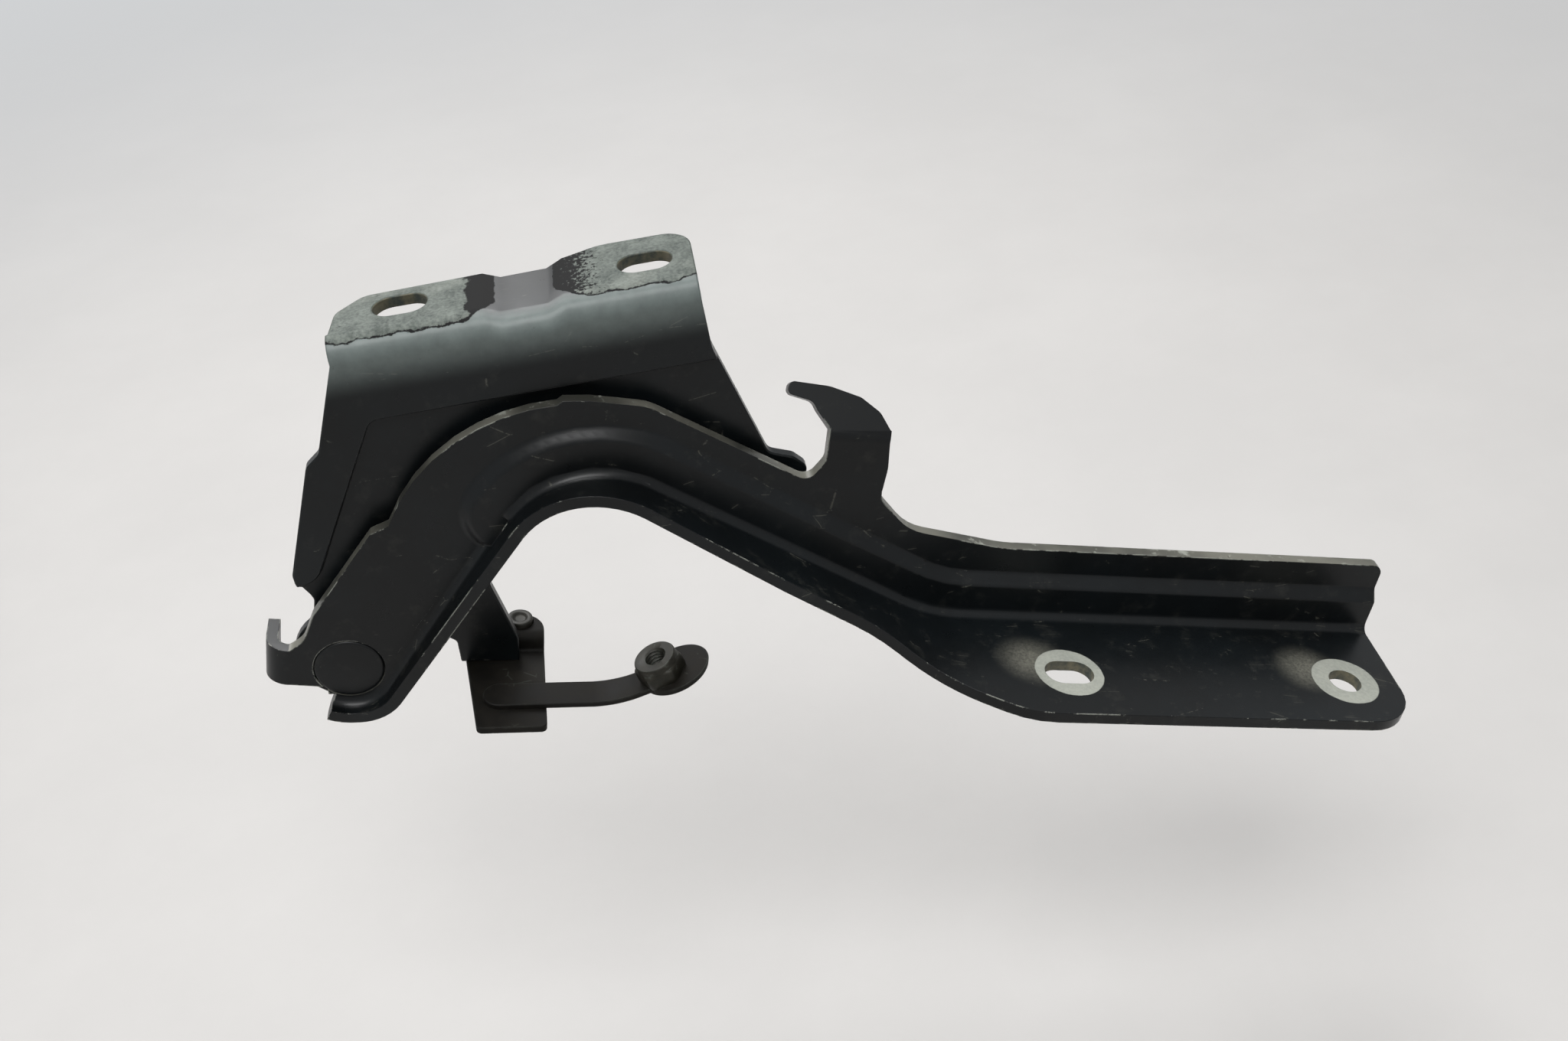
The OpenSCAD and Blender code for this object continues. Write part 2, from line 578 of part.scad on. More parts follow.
module weld_nut() {
    color(steel) on_support_plate() nut_frame() difference() {
        union() {
            cylinder(h = nut_hex_h, d = nut_af / cos(30), $fn = 6);
            cylinder(h = nut_h, d = nut_d);
        }
        translate([0, 0, -1]) cylinder(h = nut_h + 2, d = nut_bore);
    }
}

body_bracket();
pivot_bush();
support_plate();
support_stud();
nut_strip();
weld_nut();
hinge_arm();
pivot_rivet();
thrust_washer();
tail_washer();
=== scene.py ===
"""Dresses the bonnet hinge: painted pressings with worn edges and bare zinc under the fasteners,
a threaded weld nut, a hollow stud and a riveted pivot, on a pale floor under soft light."""

import json
import math

import bmesh
import bpy
import numpy as np
from bpy.props import FloatProperty, FloatVectorProperty, PointerProperty
from mathutils import Matrix, Quaternion, Vector


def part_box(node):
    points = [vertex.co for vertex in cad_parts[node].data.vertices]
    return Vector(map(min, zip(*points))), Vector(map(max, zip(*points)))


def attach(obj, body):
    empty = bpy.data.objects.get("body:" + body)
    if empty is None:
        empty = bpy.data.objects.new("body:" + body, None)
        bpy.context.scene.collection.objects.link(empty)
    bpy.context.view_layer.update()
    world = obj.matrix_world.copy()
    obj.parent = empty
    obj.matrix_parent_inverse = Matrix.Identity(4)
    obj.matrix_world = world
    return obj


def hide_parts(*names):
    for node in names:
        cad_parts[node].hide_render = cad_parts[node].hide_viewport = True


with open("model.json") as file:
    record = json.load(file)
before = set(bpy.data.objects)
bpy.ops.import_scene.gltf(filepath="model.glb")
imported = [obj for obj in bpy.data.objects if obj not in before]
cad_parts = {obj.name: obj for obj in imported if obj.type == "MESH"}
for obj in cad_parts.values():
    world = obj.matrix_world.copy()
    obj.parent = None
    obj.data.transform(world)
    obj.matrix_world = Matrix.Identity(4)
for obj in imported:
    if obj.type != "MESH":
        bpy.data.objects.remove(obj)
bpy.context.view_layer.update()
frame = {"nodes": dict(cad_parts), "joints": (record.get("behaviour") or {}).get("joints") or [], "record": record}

bl_info = {
    "name": "Bonnet Hinge Finish",
    "version": (1, 0, 0),
    "blender": (4, 5, 0),
    "location": "View3D > Sidebar > Bonnet Hinge",
    "description": "Finishes, fasteners and studio for a pressed bonnet hinge",
    "category": "Object",
}

MM = 0.001
MOUNTS = {m["name"]: m for m in frame["record"]["mounts"]}
PIVOT = Vector(frame["joints"][0]["pos_m"])
BONNET_HOLE = Vector(MOUNTS["bonnet_hole"]["pos_m"])
BONNET_SLOT = Vector(MOUNTS["bonnet_slot"]["pos_m"])
BONNET_UP = Vector(MOUNTS["bonnet_hole"]["axis"])
BONNET_TURN = math.atan2(BONNET_UP.x, BONNET_UP.z)
BONNET_SPACING = (BONNET_HOLE - BONNET_SLOT).length
NUT_UP = -Vector(MOUNTS["nut_thread"]["axis"])


def linear(code):
    """Linear RGBA of an sRGB hex colour: the lower part divides by 12.92, the rest is a 2.4 power."""
    value = np.array([int(code[i : i + 2], 16) / 255 for i in (1, 3, 5)])
    out = np.where(value <= 0.04045, value / 12.92, ((value + 0.055) / 1.055) ** 2.4)
    return (*out.tolist(), 1.0)


PALE = linear("#F4F6F8")


def length(name, description, millimetres, low, high):
    """A length property, given in millimetres and kept in metres."""
    return FloatProperty(
        name=name,
        description=description,
        default=millimetres * MM,
        min=low * MM,
        max=high * MM,
        unit="LENGTH",
    )


def colour(name, description, code):
    """A colour property, given as sRGB hex and kept linear."""
    return FloatVectorProperty(
        name=name,
        description=description,
        default=linear(code),
        size=4,
        min=0.0,
        max=1.0,
        subtype="COLOR",
    )


class HingeShape(bpy.types.PropertyGroup):
    """Sizes of the softened edges and of the turned pieces."""

    edge: length("Edge Round", "Round on the sheared edges of the pressings", 0.35, 0.1, 0.6)
    wear: length("Edge Wear", "How far knocks on an edge reach into the paint", 0.8, 0.2, 1.5)
    thin_edge: length("Thin Edge Round", "Round on the edges of the thin plates", 0.25, 0.1, 0.5)
    pitch: length("Thread Pitch", "Rise of the nut's thread in one turn", 1.0, 0.5, 1.5)
    thread: length("Thread Depth", "Depth of the nut's thread", 0.5, 0.2, 0.7)
    crown: length("Rivet Crown", "Rise of the rivet's ends at their middle", 0.35, 0.0, 0.8)
    dimple: length("Stud Dimple", "Depth of the hollow in the stud's end", 0.7, 0.2, 1.2)


class HingeFinish(bpy.types.PropertyGroup):
    """Colours and wear of the finishes."""

    paint: colour("Paint", "Black dip paint", "#080A0B")
    paint_light: colour("Thin Paint", "Dip paint where it ran thin", "#0E1214")
    dust: colour("Dust", "Dry dust on the paint", "#77766C")
    # Painted sheen: a pale cool grey laid on the bracket's fold to stand for the bright reflection along it.
    film: colour("Painted Sheen", "Thin grey film on the bracket's fold", "#808A87")
    zinc: colour("Zinc", "Zinc bared by fasteners and knocks", "#5D635D")
    zinc_bright: colour("Rubbed Zinc", "Zinc polished by rubbing", "#9C9E95")
    zinc_satin: colour("Satin Zinc", "Zinc pressed smooth under the screw heads", "#8D9088")
    zinc_dark: colour("Dull Zinc", "Tarnished zinc", "#3B413D")
    residue: colour("Residue", "Dry black left round the bared pads", "#0B0B0B")
    wall: colour("Hole Wall", "Stained walls of the holes", "#6A6654")
    coat: colour("Coating", "Dull dark coating of the fitted plates", "#0F0E0C")
    coat_light: colour("Rubbed Coating", "The same coating where it is rubbed", "#1C1A16")
    nut: colour("Nut", "Dull olive coating of the nut and the stud", "#181710")
    nut_light: colour("Rubbed Nut", "The same coating where it is rubbed", "#292720")
    ring: length("Ring", "Diameter of the bared rings on the bonnet flange", 18.0, 14.0, 22.0)


class HingeStage(bpy.types.PropertyGroup):
    """Floor, lamps and camera."""

    floor_level: length("Floor", "Height of the floor", -270.0, -400.0, -265.0)
    floor_colour: colour("Floor Colour", "Pale floor", "#BFBDBB")
    world: FloatProperty(name="World", description="Strength of the even light", default=0.18, min=0.0)
    backdrop: FloatProperty(name="Backdrop", description="Paleness of the far ground", default=0.7, min=0.0, max=1.0)
    back: FloatProperty(name="Back Lamp", description="Softbox behind", default=20.0, min=0.0, unit="POWER")
    top: FloatProperty(name="Top Lamp", description="Softbox above", default=11.0, min=0.0, unit="POWER")
    broad: FloatProperty(name="Broad Lamp", description="Broad even lamp above", default=0.2, min=0.0)
    front: FloatProperty(name="Front Lamp", description="Soft fill in front", default=2.5, min=0.0, unit="POWER")
    lens: FloatProperty(name="Lens", description="Focal length in mm", default=40.34, min=10.0)


def node(tree, kind, links=None, out=0, **settings):
    """Adds a node. `links` maps a socket's name or number to a constant or to another node's output."""
    made = tree.nodes.new("ShaderNode" + kind)
    for key, value in settings.items():
        setattr(made, key, value)
    for key, value in (links or {}).items():
        if isinstance(value, bpy.types.NodeSocket):
            tree.links.new(value, made.inputs[key])
        else:
            made.inputs[key].default_value = value
    return made.outputs[out] if len(made.outputs) else made


def seen(tree):
    """One for rays from the camera and for those that gloss sends out, nought for the light itself."""
    paths = [node(tree, "LightPath", out=name) for name in ("Is Camera Ray", "Is Glossy Ray")]
    return node(tree, "Math", dict(enumerate(paths)), operation="MAXIMUM")


def edge_mask(tree, radius, start, full):
    """Mask of the edges: the normal is averaged over `radius`, and its dot product with the true one falls from
    `start`, where the mask begins, to `full`."""
    soft = node(tree, "Bevel", {"Radius": radius}, samples=6)
    facing = node(tree, "NewGeometry", out="Normal")
    agree = node(tree, "VectorMath", {0: soft, 1: facing}, out=1, operation="DOT_PRODUCT")
    return node(tree, "MapRange", {0: agree, 1: start, 2: full})


def new_material(name):
    """An empty node material."""
    material = bpy.data.materials.new(name)
    material.use_nodes = True
    material.node_tree.nodes.clear()
    return material, material.node_tree


def ring_wear(tree, place):
    """Wear on the bonnet flange: a bare zinc disc under each screw head, with a slightly torn rim, and dry dust
    that fades out beside it. Both are read in the flange's own frame, with the round hole at its middle."""
    finish = bpy.context.scene.hinge_finish
    flat = node(
        tree,
        "Mapping",
        {"Vector": place, "Location": BONNET_HOLE, "Rotation": (0.0, BONNET_TURN, 0.0)},
        vector_type="TEXTURE",
    )
    x, y, z = (node(tree, "SeparateXYZ", {0: flat}, out=i) for i in range(3))
    across = node(tree, "CombineXYZ", {0: x, 1: y})
    torn = node(tree, "TexNoise", {"Vector": flat, "Scale": 1 / (2.5 * MM), "Detail": 3.0})
    speck = node(tree, "TexNoise", {"Vector": flat, "Scale": 1 / (0.6 * MM), "Detail": 4.0})
    top = node(tree, "MapRange", {0: z, 1: -1.2 * MM, 2: -0.8 * MM})
    zinc = dust = top
    for centre in (0.0, -BONNET_SPACING):
        away = node(tree, "VectorMath", {0: across, 1: (centre, 0.0, 0.0)}, out=1, operation="DISTANCE")
        rough = node(tree, "Math", {0: torn, 1: 0.4 * MM, 2: away}, operation="MULTIPLY_ADD")
        rim = finish.ring / 2 + 0.2 * MM
        disc = node(tree, "MapRange", {0: rough, 1: rim - 0.1 * MM, 2: rim + 0.1 * MM})
        zinc = node(tree, "Math", {0: zinc, 1: disc}, operation="MULTIPLY")
        beside = (centre - 9 * MM, 4.5 * MM, 0.0)
        fade = node(tree, "VectorMath", {0: across, 1: beside}, out=1, operation="DISTANCE")
        clear = node(tree, "MapRange", {0: fade, 1: 1 * MM, 2: 11 * MM}, interpolation_type="SMOOTHSTEP")
        dust = node(tree, "Math", {0: dust, 1: clear}, operation="MULTIPLY")
    zinc = node(tree, "Math", {0: top, 1: zinc}, operation="SUBTRACT")
    dust = node(tree, "Math", {0: top, 1: dust}, operation="SUBTRACT")
    dust = node(tree, "Math", {0: dust, 1: speck}, operation="MULTIPLY")
    return {"zinc": zinc, "dust": dust}


def pad_wear(tree, place):
    """Wear on the bracket's two bolting pads, and a painted sheen on its fold. A pad is a box with round corners,
    seen from above: the distance to it is the length of what lies beyond its inner box, less the corner radius. Zinc
    shows inside it, torn back from the middle of the flange by noise and speckled on the right; dry black is left on
    the rest. A pale grey painted sheen, standing for the bright reflection along the fold, lies in front of the
    pads."""
    x, y, z = (node(tree, "SeparateXYZ", {0: place}, out=i) for i in range(3))
    flat = node(tree, "CombineXYZ", {0: x, 1: y})
    torn = node(tree, "TexNoise", {"Vector": place, "Scale": 1 / (4.0 * MM), "Detail": 5.0, "Roughness": 0.6})
    fine = node(tree, "TexNoise", {"Vector": place, "Scale": 1 / (2.2 * MM), "Detail": 5.0, "Roughness": 0.7})
    speck = node(tree, "TexNoise", {"Vector": place, "Scale": 1 / (1.1 * MM), "Detail": 4.0, "Roughness": 0.6})
    top = node(tree, "MapRange", {0: z, 1: -2.8 * MM, 2: -2.6 * MM})
    zinc, pads = [], []
    # For each pad, in millimetres: middle, half size, corner radius, and where along X the zinc begins and is
    # full. Then the noise that tears its rim, and how much it does.
    for middle, half, corner, (x0, x1), noise, amount in (
        ((-30.0, 1.5), (23.0, 13.5), 9.0, (-11.0, -16.0), torn, 3.2),
        ((26.5, 2.5), (19.5, 13.5), 10.0, (8.0, 21.0), speck, 4.5),
    ):
        centre = (middle[0] * MM, middle[1] * MM, 0.0)
        inner = ((half[0] - corner) * MM, (half[1] - corner) * MM, 0.0)
        off = node(tree, "VectorMath", {0: flat, 1: centre}, operation="SUBTRACT")
        off = node(tree, "VectorMath", {0: off}, operation="ABSOLUTE")
        off = node(tree, "VectorMath", {0: off, 1: inner}, operation="SUBTRACT")
        off = node(tree, "VectorMath", {0: off, 1: (0.0, 0.0, 0.0)}, operation="MAXIMUM")
        beyond = node(tree, "VectorMath", {0: off}, out=1, operation="LENGTH")
        beyond = node(tree, "Math", {0: torn, 1: 2.4 * MM, 2: beyond}, operation="MULTIPLY_ADD")
        reach = (corner + 1.2) * MM
        pads.append(node(tree, "MapRange", {0: beyond, 1: reach + 0.1 * MM, 2: reach - 0.1 * MM}))
        shy = node(tree, "Math", {0: fine, 1: 2.0 * MM, 2: beyond}, operation="MULTIPLY_ADD")
        inside = node(tree, "MapRange", {0: shy, 1: reach + 0.7 * MM, 2: reach + 0.5 * MM})
        along = node(tree, "MapRange", {0: x, 1: x0 * MM, 2: x1 * MM, 3: -1.0, 4: 1.0}, clamp=False)
        along = node(tree, "Math", {0: noise, 1: amount, 2: along}, operation="MULTIPLY_ADD")
        bared = node(tree, "MapRange", {0: along, 1: amount / 2 - 0.1, 2: amount / 2 + 0.15})
        zinc.append(node(tree, "Math", {0: inside, 1: bared}, operation="MULTIPLY"))
    zinc = node(tree, "Math", {0: zinc[0], 1: zinc[1]}, operation="MAXIMUM")
    pads = node(tree, "Math", {0: pads[0], 1: pads[1]}, operation="MAXIMUM")
    # Painted sheen: a pale grey laid on the fold in front of the pads stands for the bright reflection along the
    # fold, fading out down the web.
    film = node(tree, "MapRange", {0: z, 1: -15 * MM, 2: -3 * MM, 4: 0.6}, interpolation_type="SMOOTHSTEP")
    fold = node(tree, "MapRange", {0: y, 1: -8.5 * MM, 2: -11.5 * MM})
    patchy = node(tree, "MapRange", {0: torn, 1: 0.2, 2: 0.8, 3: 0.8, 4: 1.2})
    film = node(tree, "Math", {0: film, 1: fold}, operation="MULTIPLY")
    return {
        "film": node(tree, "Math", {0: film, 1: patchy}, operation="MULTIPLY"),
        "zinc": node(tree, "Math", {0: zinc, 1: top}, operation="MULTIPLY"),
        "residue": node(tree, "Math", {0: pads, 1: top}, operation="MULTIPLY"),
    }


def edge_wear(tree, place):
    """Wear on the sheared upper edges: dry dust all along, thicker in places, and zinc in short rubs."""
    rubs = node(tree, "TexNoise", {"Vector": place, "Scale": 1 / (6 * MM), "Detail": 6.0, "Roughness": 0.7})
    film = node(tree, "TexNoise", {"Vector": place, "Scale": 1 / (25 * MM), "Detail": 4.0})
    return {
        "zinc": node(tree, "MapRange", {0: rubs, 1: 0.58, 2: 0.66, 4: 0.8}),
        "dust": node(tree, "MapRange", {0: film, 1: 0.35, 2: 0.65, 3: 0.15, 4: 0.75}),
    }


def painted_steel(name, bare, wear=None, knocks=0.3):
    """Black dip paint over zinc-coated sheet: semi-gloss with a faint orange peel, thinner and greyer in
    broad patches, hairline scratches and dust. Mottled zinc in the two tones `bare` shows where `wear` takes the
    paint off, and in chips, which crowd on the edges by the amount `knocks`. `wear` may also give dry black, dust
    and a painted sheen, a pale grey that stands for a bright reflection."""
    shape, finish = bpy.context.scene.hinge_shape, bpy.context.scene.hinge_finish
    material, tree = new_material(name)
    place = node(tree, "TexCoord", out="Object")
    broad = node(tree, "TexNoise", {"Vector": place, "Scale": 1 / (38 * MM), "Detail": 4.0})
    smear = node(tree, "TexNoise", {"Vector": place, "Scale": 1 / (7 * MM), "Detail": 6.0, "Roughness": 0.7})
    peel = node(tree, "TexNoise", {"Vector": place, "Scale": 1 / (1.3 * MM), "Detail": 2.0})
    grain = node(tree, "TexNoise", {"Vector": place, "Scale": 1 / (0.8 * MM), "Detail": 4.0})
    thin = node(tree, "MapRange", {0: broad, 1: 0.38, 2: 0.66})
    body = node(tree, "Mix", {0: thin, 6: finish.paint, 7: finish.paint_light}, out=2, data_type="RGBA")
    dusty = node(tree, "MapRange", {0: smear, 1: 0.55, 2: 0.85, 4: 0.09})
    # Hairlines: the borders of long cells, broken up by the smears.
    along = node(tree, "Mapping", {"Vector": place, "Rotation": (0.3, 0.5, 0.2), "Scale": (30.0, 260.0, 90.0)})
    cells = node(tree, "TexVoronoi", {"Vector": along, "Scale": 1.0}, feature="DISTANCE_TO_EDGE")
    line = node(tree, "MapRange", {0: cells, 1: 0.012, 2: 0.0, 4: 0.3})
    broken = node(tree, "MapRange", {0: smear, 1: 0.56, 2: 0.6})
    hair = node(tree, "Math", {0: line, 1: broken}, operation="MULTIPLY")
    dry = node(tree, "Math", {0: dusty, 1: hair}, operation="MAXIMUM")
    body = node(tree, "Mix", {0: dry, 6: body, 7: finish.dust}, out=2, data_type="RGBA")
    gloss = node(tree, "MapRange", {0: smear, 1: 0.3, 2: 0.8, 3: 0.26, 4: 0.4})
    # Edges: where the surface turns within the edge round, the paint is thin and knocks take it off.
    soft = node(tree, "Bevel", {"Radius": shape.edge}, samples=6)
    edge = edge_mask(tree, shape.wear, 0.95, 0.86)
    knock = node(tree, "TexNoise", {"Vector": place, "Scale": 1 / (5 * MM), "Detail": 7.0, "Roughness": 0.75})
    crowd = node(tree, "TexNoise", {"Vector": place, "Scale": 1 / (22 * MM), "Detail": 2.0})
    crowd = node(tree, "MapRange", {0: crowd, 1: 0.35, 2: 0.65, 3: 0.55 * knocks, 4: 1.25 * knocks})
    hit = node(tree, "Math", {0: edge, 1: crowd, 2: knock}, operation="MULTIPLY_ADD")
    mask = node(tree, "MapRange", {0: hit, 1: 0.80, 2: 0.84})
    worn = wear(tree, place) if wear else {}
    if "zinc" in worn:
        mask = node(tree, "Math", {0: mask, 1: worn["zinc"]}, operation="MAXIMUM")
    # Painted sheen from `wear`: a pale grey mixed into the paint to stand for a bright reflection.
    if "film" in worn:
        body = node(tree, "Mix", {0: worn["film"], 6: body, 7: finish.film}, out=2, data_type="RGBA")
    if "dust" in worn:
        body = node(tree, "Mix", {0: worn["dust"], 6: body, 7: finish.dust}, out=2, data_type="RGBA")
    if "residue" in worn:
        body = node(tree, "Mix", {0: worn["residue"], 6: body, 7: finish.residue}, out=2, data_type="RGBA")
        gloss = node(tree, "Mix", {0: worn["residue"], 2: gloss, 3: 0.85})
    # Zinc: dull clouds a few millimetres wide, a fine tooth in them and a few bright rubs.
    tooth = node(tree, "Math", {0: grain, 1: 0.4}, operation="MULTIPLY")
    cloud = node(tree, "Math", {0: smear, 1: 0.6, 2: tooth}, operation="MULTIPLY_ADD")
    dull = node(tree, "MapRange", {0: cloud, 1: 0.4, 2: 0.62})
    metal = node(tree, "Mix", {0: dull, 6: bare[0], 7: bare[1]}, out=2, data_type="RGBA")
    rub = node(tree, "MapRange", {0: broad, 1: 0.52, 2: 0.68, 4: 0.35})
    metal = node(tree, "Mix", {0: rub, 6: metal, 7: finish.zinc_bright}, out=2, data_type="RGBA")
    if "residue" in worn:
        scuff = node(tree, "MapRange", {0: knock, 1: 0.6, 2: 0.68, 4: 0.8})
        metal = node(tree, "Mix", {0: scuff, 6: metal, 7: finish.residue}, out=2, data_type="RGBA")
    rough = node(tree, "MapRange", {0: cloud, 1: 0.35, 2: 0.65, 3: 0.5, 4: 0.66})
    peeled = node(tree, "Math", {0: peel, 1: 0.5}, operation="MULTIPLY")
    height = node(tree, "Math", {0: peeled, 1: mask}, operation="SUBTRACT")
    surface = node(
        tree,
        "BsdfPrincipled",
        {
            "Base Color": node(tree, "Mix", {0: mask, 6: body, 7: metal}, out=2, data_type="RGBA"),
            "Roughness": node(tree, "Mix", {0: mask, 2: gloss, 3: rough}),
            "Metallic": node(tree, "Math", {0: mask, 1: 0.15}, operation="MULTIPLY"),
            "Specular IOR Level": 0.25,
            "Normal": node(
                tree,
                "Bump",
                {"Strength": 0.35, "Distance": 0.03 * MM, "Height": height, "Normal": soft},
            ),
        },
    )
    node(tree, "OutputMaterial", {"Surface": surface})
    return material


def plain_finish(name, first, second, roughness, metallic, spot, specular=0.5, rubbed=None):
    """One mottled finish: two tones in patches of `spot` metres, a finer tooth, and uneven gloss. A tone `rubbed`
    shows in places along the edges and in short scratches."""
    material, tree = new_material(name)
    place = node(tree, "TexCoord", out="Object")
    patch = node(tree, "TexNoise", {"Vector": place, "Scale": 1 / spot, "Detail": 6.0, "Roughness": 0.65})
    tooth = node(tree, "TexNoise", {"Vector": place, "Scale": 1 / (0.7 * MM), "Detail": 3.0})
    share = node(tree, "MapRange", {0: patch, 1: 0.38, 2: 0.64})
    tone = node(tree, "Mix", {0: share, 6: first, 7: second}, out=2, data_type="RGBA")
    if rubbed:
        edge = edge_mask(tree, 0.6 * MM, 0.97, 0.86)
        places = node(tree, "MapRange", {0: patch, 1: 0.44, 2: 0.6, 3: 0.1, 4: 0.9})
        edge = node(tree, "Math", {0: edge, 1: places}, operation="MULTIPLY")
        cells = node(tree, "TexVoronoi", {"Vector": place, "Scale": 1 / (6 * MM)}, feature="DISTANCE_TO_EDGE")
        line = node(tree, "MapRange", {0: cells, 1: 0.03, 2: 0.015})
        broken = node(tree, "MapRange", {0: patch, 1: 0.56, 2: 0.62, 4: 0.2})
        scratch = node(tree, "Math", {0: line, 1: broken}, operation="MULTIPLY")
        edge = node(tree, "Math", {0: edge, 1: scratch}, operation="MAXIMUM")
        tone = node(tree, "Mix", {0: edge, 6: tone, 7: rubbed}, out=2, data_type="RGBA")
    gloss = node(tree, "MapRange", {0: patch, 1: 0.3, 2: 0.7, 3: roughness - 0.08, 4: roughness + 0.08})
    bump = node(tree, "Bump", {"Strength": 0.3, "Distance": 0.04 * MM, "Height": tooth})
    surface = node(
        tree,
        "BsdfPrincipled",
        {
            "Base Color": tone,
            "Roughness": gloss,
            "Metallic": metallic,
            "Specular IOR Level": specular,
            "Normal": bump,
        },
    )
    node(tree, "OutputMaterial", {"Surface": surface})
    return material


def hole_walls(centre, normal, at, axis, along, across):
    """True for the faces that run along a hole's axis and lie within its half length and half width."""
    axis = np.array(axis)
    off = centre - np.array(at)
    deep = off @ axis
    flat = off - deep[:, None] * axis
    inside = (np.linalg.norm(flat[:, ::2], axis=1) < along) & (np.abs(flat[:, 1]) < across)
    return inside & (np.abs(deep) < 4 * MM) & (np.abs(normal @ axis) < 0.5)


def link(mesh, name, body, slot, *replaced):
    """Puts a mesh into the scene as a piece that rides on a body and stands for CAD nodes."""
    if not mesh.polygons:
        raise RuntimeError(f"{name} has no faces")
    piece = bpy.data.objects.new(name, mesh)
    bpy.context.scene.collection.objects.link(piece)
    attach(piece, body)
    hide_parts(*replaced)
    return piece


def dressed(name, body, slot, materials, width=0.0, pick=None):
    """Copy of a pressing with its doubles merged, its flat facets joined and its normals evened. With a `width`
    its sharp edges get a round. `pick` gives each face its material from the faces' centres and normals."""
    mesh = bpy.data.meshes.new(name + "_dressed")
    form = bmesh.new()
    form.from_mesh(frame["nodes"][name].data)
    bmesh.ops.remove_doubles(form, verts=form.verts, dist=0.05 * MM)
    bmesh.ops.dissolve_degenerate(form, edges=form.edges, dist=0.02 * MM)
    bmesh.ops.dissolve_limit(form, angle_limit=math.radians(1.5), verts=form.verts, edges=form.edges)
    form.to_mesh(mesh)
    form.free()
    count = len(mesh.polygons)
    centre, normal = np.empty(count * 3), np.empty(count * 3)
    mesh.polygons.foreach_get("center", centre)
    mesh.polygons.foreach_get("normal", normal)
    centre, normal = centre.reshape(-1, 3), normal.reshape(-1, 3)
    index = pick(centre, normal) if pick else np.zeros(count)
    for material in materials:
        mesh.materials.append(material)
    mesh.polygons.foreach_set("material_index", index.astype(np.int32))
    mesh.shade_smooth()
    mesh.set_sharp_from_angle(angle=math.radians(35))
    piece = link(mesh, name + "_dressed", body, slot, name)
    if width:
        bevel = piece.modifiers.new("edge round", "BEVEL")
        bevel.width = width
        bevel.segments = 2
        bevel.limit_method = "ANGLE"
        bevel.angle_limit = math.radians(50)
        bevel.use_clamp_overlap = False
    normals = piece.modifiers.new("even normals", "WEIGHTED_NORMAL")
    normals.keep_sharp = True
    return piece


def grid_mesh(name, rows, material):
    """Mesh of a surface given as an array of points, rows by columns, closed round the columns. Rows that
    shrink to a point are merged into a pole."""
    m, n, _ = rows.shape
    i, j = np.meshgrid(np.arange(m - 1), np.arange(n), indexing="ij")
    k = (j + 1) % n
    faces = np.stack([i * n + j, i * n + k, (i + 1) * n + k, (i + 1) * n + j], axis=-1).reshape(-1, 4)
    mesh = bpy.data.meshes.new(name)
    mesh.from_pydata(rows.reshape(-1, 3).tolist(), [], faces.tolist())
    form = bmesh.new()
    form.from_mesh(mesh)
    bmesh.ops.remove_doubles(form, verts=form.verts, dist=0.001 * MM)
    bmesh.ops.recalc_face_normals(form, faces=form.faces)
    form.to_mesh(mesh)
    form.free()
    mesh.materials.append(material)
    mesh.shade_smooth()
    mesh.set_sharp_from_angle(angle=math.radians(38))
    return mesh


def rounded(points, step=4):
    """A profile with its corners rounded: each point (radius, height, round) is replaced by a quadratic
    curve between the places that lie `round` before and after it."""
    points = np.array(points, dtype=float)
    out = [points[0, :2]]
    for before, here, after in zip(points, points[1:], points[2:]):
        if here[2] == 0:
            out.append(here[:2])
            continue
        a = here[:2] + here[2] * (before - here)[:2] / np.linalg.norm((before - here)[:2])
        b = here[:2] + here[2] * (after - here)[:2] / np.linalg.norm((after - here)[:2])
        t = np.linspace(0, 1, step + 1)[:, None]
        out.extend((1 - t) ** 2 * a + 2 * t * (1 - t) * here[:2] + t**2 * b)
    out.append(points[-1, :2])
    return np.array(out)


def turned(profile, turns=72):
    """Surface of revolution: radius times the cosine and sine of the angle, with the height kept."""
    angle = np.linspace(0, 2 * np.pi, turns, endpoint=False)
    r, h = profile[:, :1], profile[:, 1:]
    return np.stack([r * np.cos(angle), r * np.sin(angle), h + 0 * angle], axis=-1)


def placed(rows, at, up):
    """Stands a surface that was made along +Z on the point `at`, along `up`."""
    frame_up = Vector(up).to_track_quat("Z", "Y").to_matrix()
    return rows @ np.array(frame_up).T + np.array(at)


class HINGE_OT_arm(bpy.types.Operator):
    """Paints the hinge arm, with worn edges and bare rings round its bonnet holes"""

    bl_idname = "hinge.arm"
    bl_label = "Hinge Arm"

    def execute(self, context):
        finish = context.scene.hinge_finish
        rubbed = (finish.zinc_bright, finish.zinc_satin)
        main = painted_steel("black dip paint, bonnet rings", rubbed, ring_wear, 0.31)
        # Punched walls of the holes: bare zinc stained brown, dull and uneven.
        wall = plain_finish("stained zinc hole wall", finish.wall, finish.zinc_dark, 0.6, 0.3, 3 * MM)
        edge = painted_steel("black dip paint, dusty sheared edge", rubbed, edge_wear, 0.3)
        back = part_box("thrust_washer")[0].y

        def pick(centre, normal):
            upper = (normal[:, 2] > 0.2) & (np.abs(normal[:, 1]) < 0.3)
            upper &= (centre[:, 1] > back - 3.2 * MM) & (centre[:, 1] < back + 0.2 * MM)
            walls = hole_walls(centre, normal, BONNET_HOLE, BONNET_UP, 4.6 * MM, 4.6 * MM)
            walls |= hole_walls(centre, normal, BONNET_SLOT, BONNET_UP, 7.2 * MM, 4.6 * MM)
            return np.where(walls, 1, np.where(upper, 2, 0))

        dressed("hinge_arm", "arm", "black_paint", (main, wall, edge), pick=pick)
        return {"FINISHED"}


